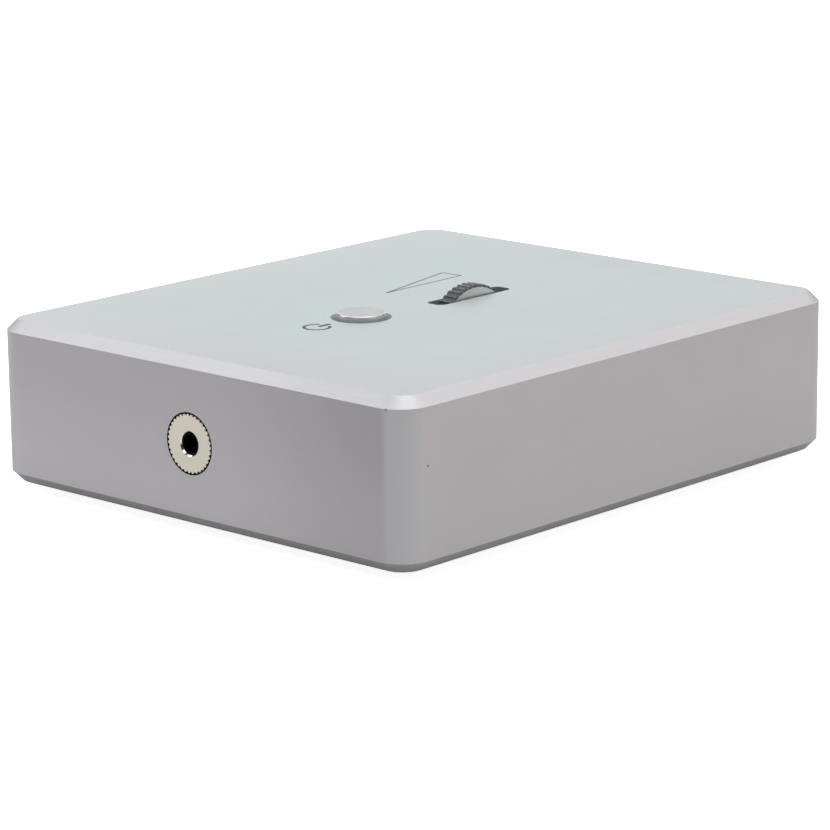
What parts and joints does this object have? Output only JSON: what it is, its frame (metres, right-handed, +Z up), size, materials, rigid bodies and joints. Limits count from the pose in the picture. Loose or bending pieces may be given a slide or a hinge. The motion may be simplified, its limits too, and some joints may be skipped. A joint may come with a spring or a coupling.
{
  "type": "phono preamp",
  "caption": "Compact phono preamp in a milled aluminium housing, with a volume wheel, power button and headphone jack, and phono sockets, ground terminal and supply inlet at the rear.",
  "frame": {"origin": "on the surface that the feet stand on, in the middle of the footprint of the housing and its rear sockets", "axes": "+Z up, -Y out of the front face with the headphone jack, +X to the right as seen from the front"},
  "size_m": [0.104, 0.129, 0.0353],
  "materials": {
    "anodised_shell": "bead-blasted and clear anodised, matte",
    "anodised_panel": "clear anodised, satin",
    "wheel_metal": "turned and fluted, satin",
    "button_metal": "turned, clear anodised, satin",
    "nickel": "satin nickel plate",
    "gold_plate": "bright gold plate",
    "bright_steel": "bright zinc or stainless steel",
    "black_screw": "black oxide",
    "spacer_brass": "plain brass",
    "spring_steel": "drawn spring wire",
    "black_mould": "moulded, matte",
    "white_mould": "moulded, satin",
    "red_mould": "moulded, satin",
    "plunger_mould": "moulded, satin",
    "foot_rubber": "soft, matte",
    "circuit_board": "glass-filled laminate with solder mask",
    "pot_case": "moulded, matte",
    "chip_black": "moulded, matte",
    "film_red": "dipped film capacitor",
    "sleeve_blue": "shrink sleeve",
    "relay_case": "moulded, satin",
    "ferrite": "sintered, matte",
    "resistor_blue": "lacquered"
  },
  "bodies": {
    "root": {"housing": "anodised_shell", "base_plate": "anodised_panel", "rear_panel": "anodised_panel", "base_screws": "black_screw", "standoffs": "spacer_brass", "foot_front_left": "foot_rubber", "foot_front_right": "foot_rubber", "foot_rear_left": "foot_rubber", "foot_rear_right": "foot_rubber", "main_board": "circuit_board", "headphone_jack_body": "black_mould", "headphone_jack_sleeve": "black_mould", "headphone_contacts": "spacer_brass", "headphone_ring_nut": "nickel", "power_switch_spring": "spring_steel", "power_switch_case": "black_mould", "volume_pot_case": "pot_case", "volume_pot_terminals": "bright_steel", "volume_riser_board": "circuit_board", "volume_riser_header": "black_mould", "input_socket_block": "black_mould", "output_socket_block": "black_mould", "input_left_shell": "gold_plate", "input_right_shell": "gold_plate", "output_left_shell": "gold_plate", "output_right_shell": "gold_plate", "input_left_insulator": "white_mould", "input_right_insulator": "red_mould", "output_left_insulator": "white_mould", "output_right_insulator": "red_mould", "input_left_contact": "gold_plate", "input_right_contact": "gold_plate", "output_left_contact": "gold_plate", "output_right_contact": "gold_plate", "panel_screws": "black_screw", "ground_stud": "gold_plate", "ground_inner_nut": "bright_steel", "dc_inlet_body": "black_mould", "dc_inlet_pin": "bright_steel", "selector_case": "bright_steel", "input_amplifiers": "chip_black", "headphone_amplifier": "chip_black", "equaliser_capacitors": "film_red", "coupling_capacitors": "film_red", "supply_capacitors": "sleeve_blue", "reservoir_capacitors": "sleeve_blue", "voltage_regulators": "chip_black", "muting_relay": "relay_case", "filter_coil": "ferrite", "resistors": "resistor_blue"},
    "power_button": {"power_button_cap": "button_metal", "power_switch_plunger": "plunger_mould"},
    "volume_wheel": {"volume_wheel": "wheel_metal", "volume_shaft": "bright_steel", "volume_wheel_screw": "bright_steel"},
    "gain_selector": {"selector_slider": "black_mould"},
    "ground_washer": {"ground_washer": "bright_steel"},
    "ground_nut": {"ground_thumb_nut": "gold_plate"}
  },
  "joints": [
    {"name": "power_press", "type": "slide", "parent": "root", "child": "power_button", "axis": [0, 0, -1], "range_m": [0, 0.002], "stiffness_N_per_m": 900, "deforming": ["power_switch_spring"]},
    {"name": "volume_turn", "type": "hinge", "parent": "root", "child": "volume_wheel", "pos_m": [0.0027, 0.0074, 0.02485], "axis": [1, 0, 0], "range_deg": [0, 300]},
    {"name": "gain_select", "type": "slide", "parent": "root", "child": "gain_selector", "axis": [1, 0, 0], "range_m": [0, 0.003]},
    {"name": "ground_travel", "type": "slide", "parent": "root", "child": "ground_washer", "axis": [0, 1, 0], "range_m": [0, 0.0021]},
    {"name": "ground_turn", "type": "hinge", "parent": "ground_washer", "child": "ground_nut", "pos_m": [-0.01175, 0.0595, 0.0173], "axis": [0, 1, 0], "range_deg": [0, 1080]}
  ],
  "couplings": [
    {"joint": "ground_turn", "follows": "ground_travel", "rad_per_m": 8976}
  ]
}
